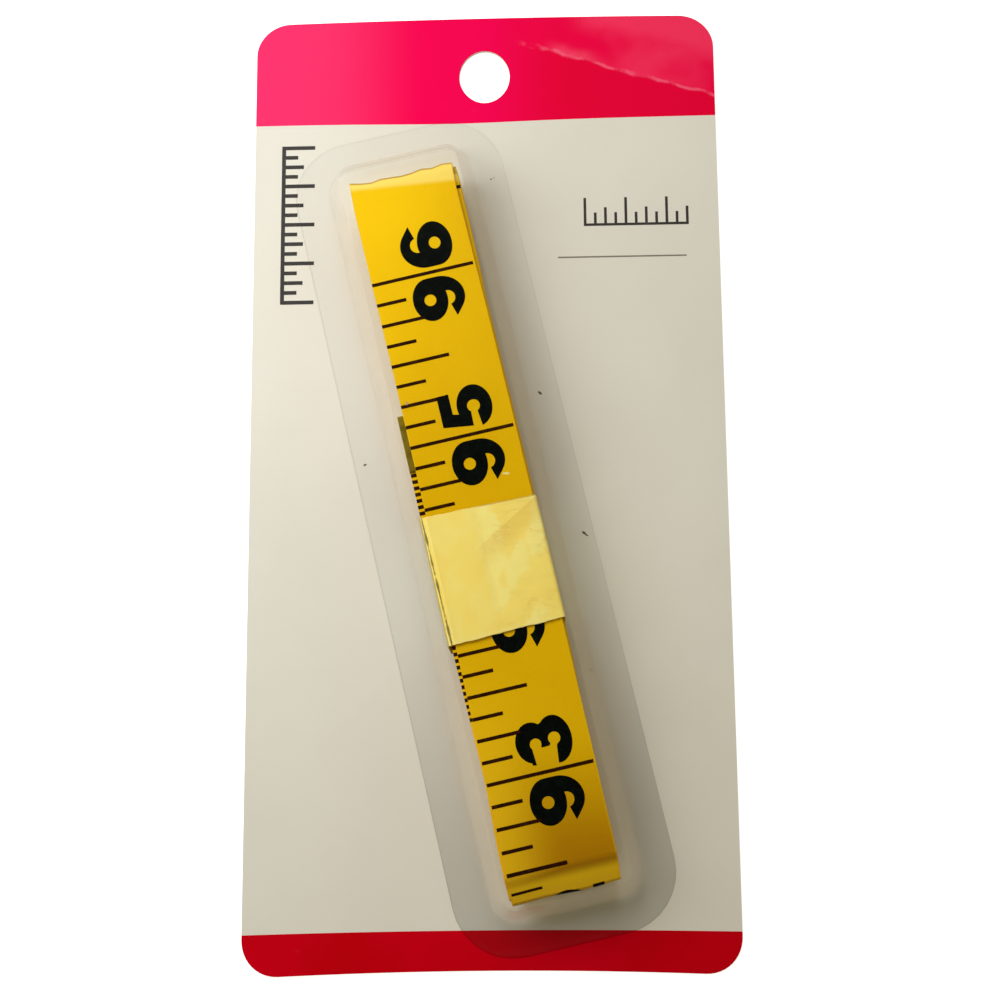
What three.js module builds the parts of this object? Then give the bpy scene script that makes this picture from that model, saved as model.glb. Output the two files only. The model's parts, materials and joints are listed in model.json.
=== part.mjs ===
// Cloth tape measure on its hang card: a long coated cloth strip folded in half and wound flat into
// a hank, held by a paper band, under a clear blister that is sealed to a printed card.
// Millimetres. The card lies on its back: +X across it, +Y towards its hang hole, +Z out of its face.
import * as THREE from 'three';
import { mergeVertices } from 'three/addons/utils/BufferGeometryUtils.js';

// Clear space between two pieces that touch, or that slide on each other, on the real object
const clearance = 0.3;

const card = {
  width: 72.5,
  height: 148,
  thickness: 0.5,
  cornerRadius: 5.4,
  holeDiameter: 8.2,
  holeBelowTop: 9.6,
};

// The hank's middle lies left of the card's middle and below it, and its top leans to the left
const hankPlace = { across: -0.75, up: -8.8, leanDegrees: 12.6 };

// leaves counts the levels of strip in the stack. Both ends of the strip lie outside: one runs over
// the top fold to the back, the other lies just under the top leaf, short of the top fold.
const strip = {
  width: 16,
  thickness: 0.36,
  leafGap: 0.434,
  leaves: 11,
  hankLength: 110,
  innerEndBelowTop: 36,
  outerEndOnBack: 12,
};

const tip = { length: 8.8, sheet: 0.15, slack: 0.06 };

const band = { width: 19, wall: 0.2, belowMiddle: 7.7, lap: 5 };

// The tub is the hollow that the hank lies in, and the seal is the flat flange round the tub
const blister = {
  film: 0.3,
  sideRoom: 0.5,
  roomBelow: 0.5,
  roomAbove: 2.5,
  tubCorner: 2.5,
  topRounding: 1,
  wallLean: 1.3,
  footRadius: 1.2,
  sealLeft: 5.9,
  sealRight: 4.5,
  sealTop: 5.3,
  sealBottom: 4.5,
  sealCorner: 9,
};

const arcSteps = 12;
const legSteps = 18;
const cornerSteps = 6;

// Heights of the stack, from the card's face up
const cardTop = card.thickness;
const bandBottom = cardTop + clearance;
const hankBottom = bandBottom + band.wall + clearance;
const levelPitch = strip.thickness + strip.leafGap;
const hankHeight = strip.thickness + (strip.leaves - 1) * levelPitch;
const hankTop = hankBottom + hankHeight;
const bandTop = hankTop + clearance + band.wall;
const tubCeiling = bandTop + clearance;

// Middle height of one level of strip, counted from 1 at the back
function levelHeight(level) {
  return hankBottom + strip.thickness / 2 + (level - 1) * levelPitch;
}

function material(color, roughness, metalness = 0) {
  return new THREE.MeshStandardMaterial({ color, roughness, metalness });
}

function namedMesh(name, geometry, look) {
  const mesh = new THREE.Mesh(geometry, look);
  mesh.name = name;
  return mesh;
}

// A rectangle with round corners, drawn about its own middle
function roundedOutline(path, width, height, radius) {
  const x = width / 2 - radius;
  const y = height / 2 - radius;
  path.absarc(x, -y, radius, -Math.PI / 2, 0);
  path.absarc(x, y, radius, 0, Math.PI / 2);
  path.absarc(-x, y, radius, Math.PI / 2, Math.PI);
  path.absarc(-x, -y, radius, Math.PI, Math.PI * 1.5);
  path.closePath();
  return path;
}

function makeCard() {
  const outline = roundedOutline(new THREE.Shape(), card.width, card.height, card.cornerRadius);
  const hole = new THREE.Path();
  const holeUp = card.height / 2 - card.holeBelowTop;
  hole.absarc(0, holeUp, card.holeDiameter / 2, 0, Math.PI * 2, true);
  outline.holes.push(hole);
  return new THREE.ExtrudeGeometry(outline, {
    depth: card.thickness,
    bevelEnabled: false,
    curveSegments: 2 * arcSteps,
  });
}

// Turns a profile drawn along the hank (x) and up (y) so that it is swept across the hank (+X)
const acrossHank = new THREE.Matrix4().makeBasis(
  new THREE.Vector3(0, 1, 0),
  new THREE.Vector3(0, 0, 1),
  new THREE.Vector3(1, 0, 0),
);

function sweepAcross(outline, width) {
  const geometry = new THREE.ExtrudeGeometry(outline, { depth: width, bevelEnabled: false, steps: 1 });
  geometry.translate(0, 0, -width / 2);
  return geometry.applyMatrix4(acrossHank);
}

// Where the half-round folds at the two ends of the hank have their middles
const halfLength = strip.hankLength / 2;
const topFoldRadius = ((strip.leaves - 1) * levelPitch) / 2;
const bottomFoldRadius = ((strip.leaves - 2) * levelPitch) / 2;
const topFoldAt = halfLength - strip.thickness / 2 - topFoldRadius;
const bottomFoldAt = -halfLength + strip.thickness / 2 + bottomFoldRadius;

// The end tips cover the strip's two ends, so each end stops short of its tip by the tip's web
const tipReach = tip.slack + tip.sheet;
const innerTipEnd = halfLength - strip.innerEndBelowTop;
const innerStripEnd = innerTipEnd - tipReach;
const outerStripEnd = topFoldAt - strip.outerEndOnBack;
const outerTipEnd = outerStripEnd - tipReach;

// Levels in the order in which the strip passes through them, from its end on the back to its end
// under the top leaf. Folds at the top join levels whose numbers add up to the leaf count, and folds
// at the bottom join levels that add up to two more, but the outermost top fold joins level 1.
function levelOrder() {
  const order = [1, strip.leaves];
  let atTop = false;
  while (order[order.length - 1] !== strip.leaves - 1) {
    const last = order[order.length - 1];
    order.push(atTop ? strip.leaves - last : strip.leaves + 2 - last);
    atTop = !atTop;
  }
  return order;
}

// Points along one straight leaf, at places shared by all leaves, with its own ends added
function leafPoints(level, from, to) {
  const places = [];
  for (let step = 0; step <= legSteps; step += 1) {
    places.push(THREE.MathUtils.lerp(bottomFoldAt, topFoldAt, step / legSteps));
  }
  const low = Math.min(from, to);
  const high = Math.max(from, to);
  const inside = places.filter((place) => place > low + clearance && place < high - clearance);
  const along = [low, ...inside, high];
  if (to < from) along.reverse();
  const heading = to > from ? 0 : Math.PI;
  return along.map((place) => ({ x: place, y: levelHeight(level), heading }));
}

// Points round one fold, without its two ends, which belong to the leaves that it joins
function foldPoints(fromLevel, toLevel, foldAt, side) {
  const start = levelHeight(fromLevel);
  const end = levelHeight(toLevel);
  const radius = Math.abs(end - start) / 2;
  const rising = end > start ? 1 : -1;
  const points = [];
  for (let step = 1; step < arcSteps; step += 1) {
    const turn = rising * (-Math.PI / 2 + (Math.PI * step) / arcSteps);
    points.push({
      x: foldAt + side * radius * Math.cos(turn),
      y: (start + end) / 2 + radius * Math.sin(turn),
      heading: Math.atan2(rising * Math.cos(turn), -side * rising * Math.sin(turn)),
    });
  }
  return points;
}

// The whole strip's middle line, one unbroken run through every level
function stripRoute() {
  const order = levelOrder();
  const route = [];
  order.forEach((level, index) => {
    const goingUp = index % 2 === 0;
    let from = goingUp ? bottomFoldAt : topFoldAt;
    let to = goingUp ? topFoldAt : bottomFoldAt;
    if (index === 0) from = outerStripEnd;
    if (index === order.length - 1) to = innerStripEnd;
    route.push(...leafPoints(level, from, to));
    if (index === order.length - 1) return;
    const foldAt = goingUp ? topFoldAt : bottomFoldAt;
    route.push(...foldPoints(level, order[index + 1], foldAt, goingUp ? 1 : -1));
  });
  return route;
}

// Least clear space between two stretches of the strip, on the points of its middle line
function leastSelfGap(route) {
  const travelled = [0];
  for (let i = 1; i < route.length; i += 1) {
    const step = Math.hypot(route[i].x - route[i - 1].x, route[i].y - route[i - 1].y);
    travelled.push(travelled[i - 1] + step);
  }
  const neighbours = Math.PI * levelPitch;
  let least = Infinity;
  for (let i = 0; i < route.length; i += 1) {
    for (let j = i + 1; j < route.length; j += 1) {
      if (travelled[j] - travelled[i] < neighbours) continue;
      const apart = Math.hypot(route[i].x - route[j].x, route[i].y - route[j].y);
      least = Math.min(least, apart - strip.thickness);
    }
  }
  return { least, length: travelled[travelled.length - 1] };
}

function makeStrip() {
  const route = stripRoute();
  const { least, length } = leastSelfGap(route);
  console.log(`tape: least gap to itself ${least.toFixed(3)}, strip length ${length.toFixed(1)}`);
  const offsetBy = (point, distance) => new THREE.Vector2(
    point.x - distance * Math.sin(point.heading),
    point.y + distance * Math.cos(point.heading),
  );
  const half = strip.thickness / 2;
  const leftEdge = route.map((point) => offsetBy(point, half));
  const rightEdge = route.map((point) => offsetBy(point, -half)).reverse();
  return sweepAcross(new THREE.Shape([...leftEdge, ...rightEdge]), strip.width);
}

// A crimped tip: one thin sheet folded round the strip's end. opening is +1 where the strip comes in
// from the top of the hank and -1 where it comes in from the bottom.
function makeTip(level, endAt, opening) {
  const inner = strip.thickness / 2 + tip.slack;
  const outer = inner + tip.sheet;
  const middle = levelHeight(level);
  const mouth = endAt + opening * tip.length;
  const web = endAt + opening * tip.sheet;
  const outline = new THREE.Shape([
    new THREE.Vector2(endAt, middle - outer),
    new THREE.Vector2(mouth, middle - outer),
    new THREE.Vector2(mouth, middle - inner),
    new THREE.Vector2(web, middle - inner),
    new THREE.Vector2(web, middle + inner),
    new THREE.Vector2(mouth, middle + inner),
    new THREE.Vector2(mouth, middle + outer),
    new THREE.Vector2(endAt, middle + outer),
  ]);
  return sweepAcross(outline, strip.width);
}

// The band is a sleeve with one clearance to the hank on all sides, and a glued lap on its left wall
const bandInnerWidth = strip.width + 2 * clearance;
const bandOuterWidth = bandInnerWidth + 2 * band.wall;

function makeBand() {
  const left = -bandOuterWidth / 2;
  const right = bandOuterWidth / 2;
  const outline = new THREE.Shape([
    new THREE.Vector2(left, bandBottom),
    new THREE.Vector2(right, bandBottom),
    new THREE.Vector2(right, bandTop),
    new THREE.Vector2(left, bandTop),
    new THREE.Vector2(left, bandBottom + band.lap + band.wall),
    new THREE.Vector2(left - band.wall, bandBottom + band.lap),
    new THREE.Vector2(left - band.wall, bandBottom + band.wall / 2),
  ]);
  const inside = new THREE.Path([
    new THREE.Vector2(-bandInnerWidth / 2, bandBottom + band.wall),
    new THREE.Vector2(-bandInnerWidth / 2, bandTop - band.wall),
    new THREE.Vector2(bandInnerWidth / 2, bandTop - band.wall),
    new THREE.Vector2(bandInnerWidth / 2, bandBottom + band.wall),
  ]);
  outline.holes.push(inside);
  const geometry = new THREE.ExtrudeGeometry(outline, { depth: band.width, bevelEnabled: false });
  geometry.rotateX(Math.PI / 2);
  return geometry.translate(0, band.width / 2 - band.belowMiddle, 0);
}

// One ring of the blister: a rounded rectangle in a level plane, the same count of points on each
function ring(box, height) {
  const points = [];
  const corners = [
    [box.right, box.bottom, -Math.PI / 2],
    [box.right, box.top, 0],
    [box.left, box.top, Math.PI / 2],
    [box.left, box.bottom, Math.PI],
  ];
  for (const [x, y, start] of corners) {
    const centreX = x - Math.sign(x) * box.corner;
    const centreY = y - Math.sign(y) * box.corner;
    for (let step = 0; step <= cornerSteps; step += 1) {
      const turn = start + (Math.PI / 2) * (step / cornerSteps);
      const along = centreX + box.corner * Math.cos(turn);
      const up = centreY + box.corner * Math.sin(turn);
      points.push(new THREE.Vector3(along, up, height));
    }
  }
  return points;
}

// A closed skin through a row of rings, with a flat fan over its first ring and over its last
function loft(rings) {
  const corners = [];
  const face = (a, b, c) => corners.push(...a.toArray(), ...b.toArray(), ...c.toArray());
  const count = rings[0].length;
  const middle = (points) => points.reduce((sum, point) => sum.add(point), new THREE.Vector3())
    .divideScalar(points.length);
  const first = middle(rings[0]);
  const last = middle(rings[rings.length - 1]);
  for (let i = 0; i < count; i += 1) {
    const next = (i + 1) % count;
    face(first, rings[0][next], rings[0][i]);
    for (let level = 1; level < rings.length; level += 1) {
      const under = rings[level - 1];
      const over = rings[level];
      face(under[i], under[next], over[next]);
      face(under[i], over[next], over[i]);
    }
    face(last, rings[rings.length - 1][i], rings[rings.length - 1][next]);
  }
  const geometry = new THREE.BufferGeometry();
  geometry.setAttribute('position', new THREE.Float32BufferAttribute(corners, 3));
  const merged = mergeVertices(geometry);
  merged.computeVertexNormals();
  return merged;
}

// The tub's inside at its ceiling. Its profile moves outwards from here on the way down.
const tubHalfWidth = bandOuterWidth / 2 + band.wall + blister.sideRoom;
const tubTopEnd = halfLength + blister.roomAbove;
const tubBottomEnd = -halfLength - blister.roomBelow;
const footSpread = blister.wallLean + blister.footRadius;

const sealBox = {
  left: -tubHalfWidth - footSpread - blister.sealLeft,
  right: tubHalfWidth + footSpread + blister.sealRight,
  top: tubTopEnd + footSpread + blister.sealTop,
  bottom: tubBottomEnd - footSpread - blister.sealBottom,
  corner: blister.sealCorner,
};

// One face of the tub's film from its foot to its ceiling, as [spread, height] pairs. proud is 0 on
// the inner face and the film's thickness on the outer one.
function tubProfile(proud) {
  const foot = blister.footRadius;
  const round = blister.topRounding;
  const quarter = arcSteps / 3;
  const profile = [];
  for (let step = 0; step <= quarter; step += 1) {
    const turn = (Math.PI / 2) * (step / quarter);
    profile.push([
      footSpread - (foot - proud) * Math.sin(turn),
      cardTop + foot - (foot - proud) * Math.cos(turn),
    ]);
  }
  for (let step = 0; step <= quarter; step += 1) {
    const turn = (Math.PI / 2) * (step / quarter);
    profile.push([
      -round + (round + proud) * Math.cos(turn),
      tubCeiling - round + (round + proud) * Math.sin(turn),
    ]);
  }
  return profile;
}

function tubRings(proud) {
  return tubProfile(proud).map(([spread, height]) => ring({
    left: -tubHalfWidth - spread,
    right: tubHalfWidth + spread,
    top: tubTopEnd + spread,
    bottom: tubBottomEnd - spread,
    corner: blister.tubCorner + spread,
  }, height));
}

function makeBlister() {
  return loft([
    ...tubRings(0).reverse(),
    ring(sealBox, cardTop),
    ring(sealBox, cardTop + blister.film),
    ...tubRings(blister.film),
  ]);
}

const tapeMeasure = new THREE.Group();
tapeMeasure.add(namedMesh('hang_card', makeCard(), material(0xeae6db, 0.55)));

const pack = new THREE.Group();
pack.position.set(hankPlace.across, hankPlace.up, 0);
pack.rotation.z = THREE.MathUtils.degToRad(hankPlace.leanDegrees);
tapeMeasure.add(pack);

pack.add(namedMesh('blister', makeBlister(), material(0xf4f6f5, 0.12)));
pack.add(namedMesh('paper_band', makeBand(), material(0xf7e690, 0.4)));

const hank = new THREE.Group();
hank.add(namedMesh('tape_strip', makeStrip(), material(0xf5c800, 0.5)));
const brass = () => material(0xb08d3c, 0.35, 1);
hank.add(namedMesh('inner_end_tip', makeTip(strip.leaves - 1, innerTipEnd, -1), brass()));
hank.add(namedMesh('outer_end_tip', makeTip(1, outerTipEnd, 1), brass()));
pack.add(hank);

export default tapeMeasure;
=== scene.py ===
import json
import math
import bpy
import bmesh
from mathutils import Matrix, Vector, noise


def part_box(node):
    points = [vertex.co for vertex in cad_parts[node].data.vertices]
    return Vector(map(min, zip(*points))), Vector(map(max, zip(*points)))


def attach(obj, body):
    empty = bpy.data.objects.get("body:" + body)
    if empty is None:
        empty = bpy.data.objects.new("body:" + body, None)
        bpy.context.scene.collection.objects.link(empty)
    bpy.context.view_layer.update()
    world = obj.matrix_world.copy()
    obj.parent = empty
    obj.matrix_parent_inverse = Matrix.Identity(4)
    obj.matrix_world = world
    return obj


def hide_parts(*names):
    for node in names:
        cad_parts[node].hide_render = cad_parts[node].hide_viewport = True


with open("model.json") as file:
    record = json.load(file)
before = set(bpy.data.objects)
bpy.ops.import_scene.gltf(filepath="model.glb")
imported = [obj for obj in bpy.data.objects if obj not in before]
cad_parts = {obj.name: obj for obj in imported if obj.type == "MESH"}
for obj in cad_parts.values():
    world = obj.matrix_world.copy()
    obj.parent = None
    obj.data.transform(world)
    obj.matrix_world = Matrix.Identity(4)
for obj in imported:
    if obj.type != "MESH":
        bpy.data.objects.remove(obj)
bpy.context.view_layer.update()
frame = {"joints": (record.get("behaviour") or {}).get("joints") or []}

mm = 0.001
noise.seed_set(1)  # the same noise vectors at every run
print("scene: frame loaded")

# Places on the card and the hank

cardLow, cardHigh = [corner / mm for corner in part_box("hang_card")]
blisterLow, blisterHigh = [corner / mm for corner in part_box("blister")]
hankLow, hankHigh = [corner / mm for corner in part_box("tape_strip")]
tapeShift = next(joint for joint in frame["joints"] if joint["name"] == "tape_shift")
along = Vector(tapeShift["axis"]).normalized()
across = Vector((along.y, -along.x, 0))
hankMiddle = Vector(((hankLow.x + hankHigh.x) / 2, (hankLow.y + hankHigh.y) / 2, 0))
cardTop = cardHigh.z


# u runs across the strip, v along the hank towards the hang hole, z up from the card's back.
def onHank(u, v, z):
    return (hankMiddle + across * u + along * v + Vector((0, 0, z))) * mm


def smoothRise(value, start, end):
    t = min(max((value - start) / (end - start), 0), 1)
    return t * t * (3 - 2 * t)


def addObject(name, data):
    item = bpy.data.objects.new(name, data)
    bpy.context.scene.collection.objects.link(item)
    return item


def makeMesh(name, bm, materials, smooth):
    mesh = bpy.data.meshes.new(name)
    bm.to_mesh(mesh)
    bm.free()
    mesh.polygons.foreach_set("use_smooth", [smooth] * len(mesh.polygons))
    for material in materials:
        mesh.materials.append(material)
    return addObject(name, mesh)


def makePiece(name, bm, materials, body, smooth=True):
    piece = makeMesh(name, bm, materials, smooth)
    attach(piece, body)
    return piece


# A sheet's thickness, half to each side
def thicken(piece, name, thickness):
    wall = piece.modifiers.new(name, "SOLIDIFY")
    wall.thickness = thickness * mm
    wall.offset = 0
    return wall


# Camera, where the photograph was taken

photoView = {
    "lens": 68.4,
    "sensor": 36,
    "eye": (10.41, -61.76, 281.89),
    "right": (0.99945, -0.00867, -0.03216),
    "up": (0.01493, 0.9797, 0.1999),
    "back": (0.02977, -0.20027, 0.97929),
}


def makeCamera():
    data = bpy.data.cameras.new("photoCamera")
    data.lens = photoView["lens"]
    data.sensor_width = photoView["sensor"]
    data.clip_start = 0.01
    data.clip_end = 20
    camera = addObject("photoCamera", data)
    turn = Matrix([photoView["right"], photoView["up"], photoView["back"]]).transposed()
    camera.matrix_world = Matrix.Translation(Vector(photoView["eye"]) * mm) @ turn.to_4x4()
    bpy.context.scene.camera = camera


makeCamera()
print("scene: camera placed")

# Short ways to add nodes to a shader tree; an input takes another node's socket or a plain value
class Shading:

    def __init__(self, tree):
        self.tree = tree
        self.nodes = tree.nodes

    def feed(self, value, socket):
        if isinstance(value, bpy.types.NodeSocket):
            self.tree.links.new(value, socket)
        elif socket.type == "RGBA":
            socket.default_value = (*value, 1)
        else:
            socket.default_value = value

    # Adds one node, sets it up and gives back its outputs
    def add(self, kind, inputs, **settings):
        node = self.nodes.new("ShaderNode" + kind)
        for name, value in settings.items():
            setattr(node, name, value)
        for name, value in inputs.items():
            self.feed(value, node.inputs[name])
        return node.outputs

    def calc(self, operation, *values):
        return self.add("Math", dict(enumerate(values)), operation=operation)[0]

    def times(self, *values):
        product = values[0]
        for value in values[1:]:
            product = self.calc("MULTIPLY", product, value)
        return product

    def plus(self, first, second):
        return self.calc("ADD", first, second)

    def minus(self, first, second):
        return self.calc("SUBTRACT", first, second)

    def most(self, first, second):
        return self.calc("MAXIMUM", first, second)

    def scaled(self, value, factor, start):
        return self.calc("MULTIPLY_ADD", value, factor, start)

    def spread(self, value, fromLow, fromHigh, toLow=0.0, toHigh=1.0):
        ends = {"Value": value, "From Min": fromLow, "From Max": fromHigh, "To Min": toLow, "To Max": toHigh}
        return self.add("MapRange", ends, interpolation_type="SMOOTHSTEP")[0]

    # The same as spread between two places in millimetres
    def ramp(self, value, start, end, toLow=0.0, toHigh=1.0):
        return self.spread(value, start * mm, end * mm, toLow, toHigh)

    def mix(self, mask, first, second):
        return self.add("Mix", {0: mask, 6: first, 7: second}, data_type="RGBA")[2]

    def parts(self, vector):
        return list(self.add("SeparateXYZ", {0: vector}))

    def cloud(self, vector, scale, detail):
        return self.add("TexNoise", {"Vector": vector, "Scale": scale, "Detail": detail})["Fac"]


# A group that reads a place and some numbers, and puts out one number over the surface
class Group(Shading):

    def __init__(self, name, **numbers):
        super().__init__(bpy.data.node_groups.new(name, "ShaderNodeTree"))
        face = self.tree.interface
        face.new_socket("Vector", in_out="INPUT", socket_type="NodeSocketVector")
        for socketName, value in numbers.items():
            face.new_socket(socketName, in_out="INPUT", socket_type="NodeSocketFloat").default_value = value
        face.new_socket("Value", in_out="OUTPUT", socket_type="NodeSocketFloat")
        self.given = self.nodes.new("NodeGroupInput").outputs

    def close(self, value):
        self.feed(value, self.nodes.new("NodeGroupOutput").inputs[0])
        return self.tree


# Soft uneven patches, from 0 to 1
def makeMottle():
    group = Group("mottle", Scale=100, Detail=4, Low=0.35, High=0.65)
    given = group.given
    cloud = group.cloud(given["Vector"], given["Scale"], given["Detail"])
    return group.close(group.spread(cloud, given["Low"], given["High"]))


# Small separate specks: each cell of the pattern holds one, and only some cells are kept
def makeSpecks():
    group = Group("specks", Scale=300, Size=0.12, Kept=0.1)
    given = group.given
    cells = group.add("TexVoronoi", {"Vector": given["Vector"], "Scale": given["Scale"]})
    chance = group.add("SeparateColor", {"Color": cells["Color"]})[0]
    near = group.calc("LESS_THAN", cells["Distance"], given["Size"])
    return group.close(group.times(group.calc("LESS_THAN", chance, given["Kept"]), near))


# Plain weave of the strip's threads under its coating, read from the strip's own UV in millimetres
def makeWeave():
    group = Group("weave", Pitch=0.5)
    turns = group.calc("DIVIDE", math.tau, group.given["Pitch"])
    threads = group.parts(group.given["Vector"])[:2]
    return group.close(group.times(*[group.calc("SINE", group.times(thread, turns)) for thread in threads]))


mottle = makeMottle()
specks = makeSpecks()
weave = makeWeave()


# A material with one Principled shader
class Finish(Shading):

    def __init__(self, name, **sockets):
        self.material = bpy.data.materials.new(name)
        self.material.use_nodes = True
        super().__init__(self.material.node_tree)
        self.shader = self.nodes["Principled BSDF"].inputs
        self.coordinates = self.add("TexCoord", {})
        for socketName, value in sockets.items():
            self.link(value, socketName.replace("_", " "))

    def link(self, value, socketName):
        self.feed(value, self.shader[socketName])

    def place(self, scale=(1, 1, 1)):
        return self.add("Mapping", {"Vector": self.coordinates["Object"], "Scale": scale})[0]

    # Sockets of the place on the hank: across it, along it and up
    def onHank(self):
        middle = Vector((across.dot(hankMiddle), along.dot(hankMiddle), 0))
        turn = (0, 0, math.atan2(along.x, along.y))
        inputs = {"Vector": self.coordinates["Object"], "Location": -middle * mm, "Rotation": turn}
        return self.parts(self.add("Mapping", inputs)[0])

    def effect(self, group, vector, **values):
        return self.add("Group", {"Vector": vector, **values}, node_tree=group)[0]

    # Soft uneven patches over the piece
    def patches(self, scale, detail, low=0.35, high=0.65, stretch=(1, 1, 1)):
        return self.effect(mottle, self.place(stretch), Scale=scale, Detail=detail, Low=low, High=high)

    def flecks(self, scale, size, kept, vector=None):
        return self.effect(specks, vector or self.place(), Scale=scale, Size=size, Kept=kept)

    def paint(self, colour):
        self.colour = colour
        self.link(colour, "Base Color")

    # Lays another colour over the paint where the mask says, at so much strength
    def tint(self, mask, strength, colour):
        self.paint(self.mix(self.times(mask, strength), self.colour, colour))

    def roughen(self, mask, low, high):
        self.link(self.spread(mask, 0, 1, low, high), "Roughness")

    def bump(self, height, distance, strength=1.0):
        inputs = {"Height": height, "Distance": distance * mm, "Strength": strength}
        self.link(self.add("Bump", inputs)[0], "Normal")


print("scene: shader groups built")

# Points along straight stretches joined by round corners; each corner is (x, y, radius)
def roundedPath(corners, step):
    points = [Vector(corners[0][:2])]
    for before, corner, after in zip(corners, corners[1:], corners[2:]):
        here = Vector(corner[:2])
        back = (Vector(before[:2]) - here).normalized() * corner[2]
        ahead = (Vector(after[:2]) - here).normalized() * corner[2]
        for share in (0, 0.25, 0.5, 0.75, 1):
            points.append(here + back * (1 - share) ** 2 + ahead * share ** 2)
    points.append(Vector(corners[-1][:2]))
    path = [points[0]]
    for start, end in zip(points, points[1:]):
        count = max(1, round((end - start).length / step))
        path += [start.lerp(end, part / count) for part in range(1, count + 1)]
    return path


# The strip's levels, from 1 at the card to the top leaf. It lies folded in half and wound flat: both
# its ends lie outside, one round the top fold on the back, the other under the top leaf.
strip = {
    "width": 15.9,
    "thickness": 0.3,
    "leaves": 25,
    "fullLength": 2474,
    "topFold": 50.85,
    "bottomFold": -50.6,
    "innerEnd": 17.6,
    "outerEnd": 39.05,
    "startLevels": (12, 13),
    "legStep": 2.4,
    "foldStep": 0.3,
    "topSection": ((0, 1, 0), (1, 1, 1.5), (1, -1, 1.5), (0, -1, 0)),
    "bottomSection": ((0, 1, 0), (0.18, 1, 0.6), (0.74, 0.52, 0.6), (0.99, 0.2, 0.5), (1.105, -0.08, 0.4),
                      (1.02, -0.6, 0.7), (0.6, -1, 0.9), (0, -1, 0)),
    "topLumps": ((-7.4, 0.45, 1.1), (-4.8, -0.2, 0.9), (-2.6, 0.15, 0.6), (-0.2, -0.22, 1), (1.4, -0.1, 0.8),
                 (3.2, 0.18, 0.7), (5.1, -0.05, 0.7), (7, 0.25, 1.2)),
    "acrossSteps": 12,
    "edgeShare": 0.004,
    "tipLift": 0.06,
}
levelPitch = (hankHigh.z - hankLow.z - strip["thickness"]) / (strip["leaves"] - 1)
largestFold = (strip["leaves"] - 1) / 2 * levelPitch


def levelHeight(level):
    return hankLow.z + strip["thickness"] / 2 + (level - 1) * levelPitch


def levelOrder():
    leaves = strip["leaves"]
    order = [1, leaves]
    atTop = False
    while order[-1] != leaves - 1:
        order.append((leaves if atTop else leaves + 2) - order[-1])
        atTop = not atTop
    return order


# How far a leaf's middle line lies to the right of the hank's own
def leafShift(level, v):
    if level == strip["leaves"]:
        return 0.28 * (1 - ((v - 2) / 54) ** 2) - 0.06 * smoothRise(v, 26, 40)
    if level == strip["leaves"] - 1:
        return -0.58 * smoothRise(v, -46, 4)
    uneven = min(1, 0.84 + 0.24 * noise.noise((level * 1.7, 3.1, v / 60)))
    swell = 0.6 * smoothRise(v, -40, -14) + 0.26 * smoothRise(v, 33, 39)
    return (swell - 0.5 * (1 - smoothRise(v, -50, -34))) * uneven


# The leaves over and under a brass tip bend round it
def tipRise(level, v):
    inner = smoothRise(v, 7, 10.2) * (1 - smoothRise(v, 19, 22.5))
    outer = smoothRise(v, 35, 38.8) * (1 - smoothRise(v, 47.6, 50.8))
    if level >= strip["leaves"] - 1:
        return strip["tipLift"] * inner * (level - strip["leaves"] + 2)
    return -strip["tipLift"] * outer if level == 1 else 0


# The top leaf isn't quite flat
def topRipple(u, v):
    fade = smoothRise(v, strip["bottomFold"], -44) * (1 - smoothRise(v, 42, strip["topFold"]))
    return 0.05 * fade * (0.5 + 0.5 * noise.noise((u / 9, v / 14, 2.3)))


# Both ends of the hank are pressed a little unevenly
def foldWave(u, atTop):
    if not atTop:
        return 0.08 * math.sin(u / 4.1 + 0.5) + 0.07 * math.sin(u / 1.7) - 0.012 * u
    lumps = sum(height * math.exp(-((u - place) / width) ** 2) for place, height, width in strip["topLumps"])
    return lumps + 0.16 + 0.03 * math.sin(u / 0.45)


def legPoints(level, start, end):
    count = max(2, round(abs(end - start) / strip["legStep"]))
    points = []
    for step in range(count + 1):
        v = start + (end - start) * step / count
        points.append({"level": level, "v": v, "z": levelHeight(level) + tipRise(level, v),
                       "shift": leafShift(level, v), "out": 0, "atTop": v > 0})
    return points


# A fold's section from its upper leaf round to its lower one, outward from the leaves' ends
def foldSection(radius, atTop):
    corners = strip["topSection" if atTop else "bottomSection"]
    turn = radius / largestFold
    return roundedPath([(x * radius, y * radius, cut * turn) for x, y, cut in corners], strip["foldStep"])


def foldPoints(fromLevel, toLevel, foldAt, atTop):
    middle = (levelHeight(fromLevel) + levelHeight(toLevel)) / 2
    bend = foldSection(abs(levelHeight(toLevel) - middle), atTop)
    if toLevel > fromLevel:
        bend.reverse()
    side = 1 if atTop else -1
    points = []
    for step, place in enumerate(bend[1:-1], 1):
        share = step / (len(bend) - 1)
        shift = leafShift(fromLevel, foldAt) * (1 - share) + leafShift(toLevel, foldAt) * share
        points.append({"level": 0, "v": foldAt + side * place.x, "z": middle + place.y,
                       "shift": shift, "out": side * place.x / largestFold, "atTop": atTop})
    return points


def stripRoute(startFold):
    order = levelOrder()
    route = []
    for index, level in enumerate(order):
        goingUp = index % 2 == 0
        topAt = startFold if level in strip["startLevels"] else strip["topFold"]
        start, end = (strip["bottomFold"], topAt) if goingUp else (topAt, strip["bottomFold"])
        if index == 0:
            start = strip["outerEnd"]
        if index == len(order) - 1:
            end = strip["innerEnd"]
        route += legPoints(level, start, end)
        if index < len(order) - 1:
            foldAt = topAt if goingUp else strip["bottomFold"]
            route += foldPoints(level, order[index + 1], foldAt, goingUp)
    return route


def routeLengths(route):
    travelled = [0]
    for before, after in zip(route, route[1:]):
        travelled.append(travelled[-1] + math.hypot(after["v"] - before["v"], after["z"] - before["z"]))
    return travelled


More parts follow.
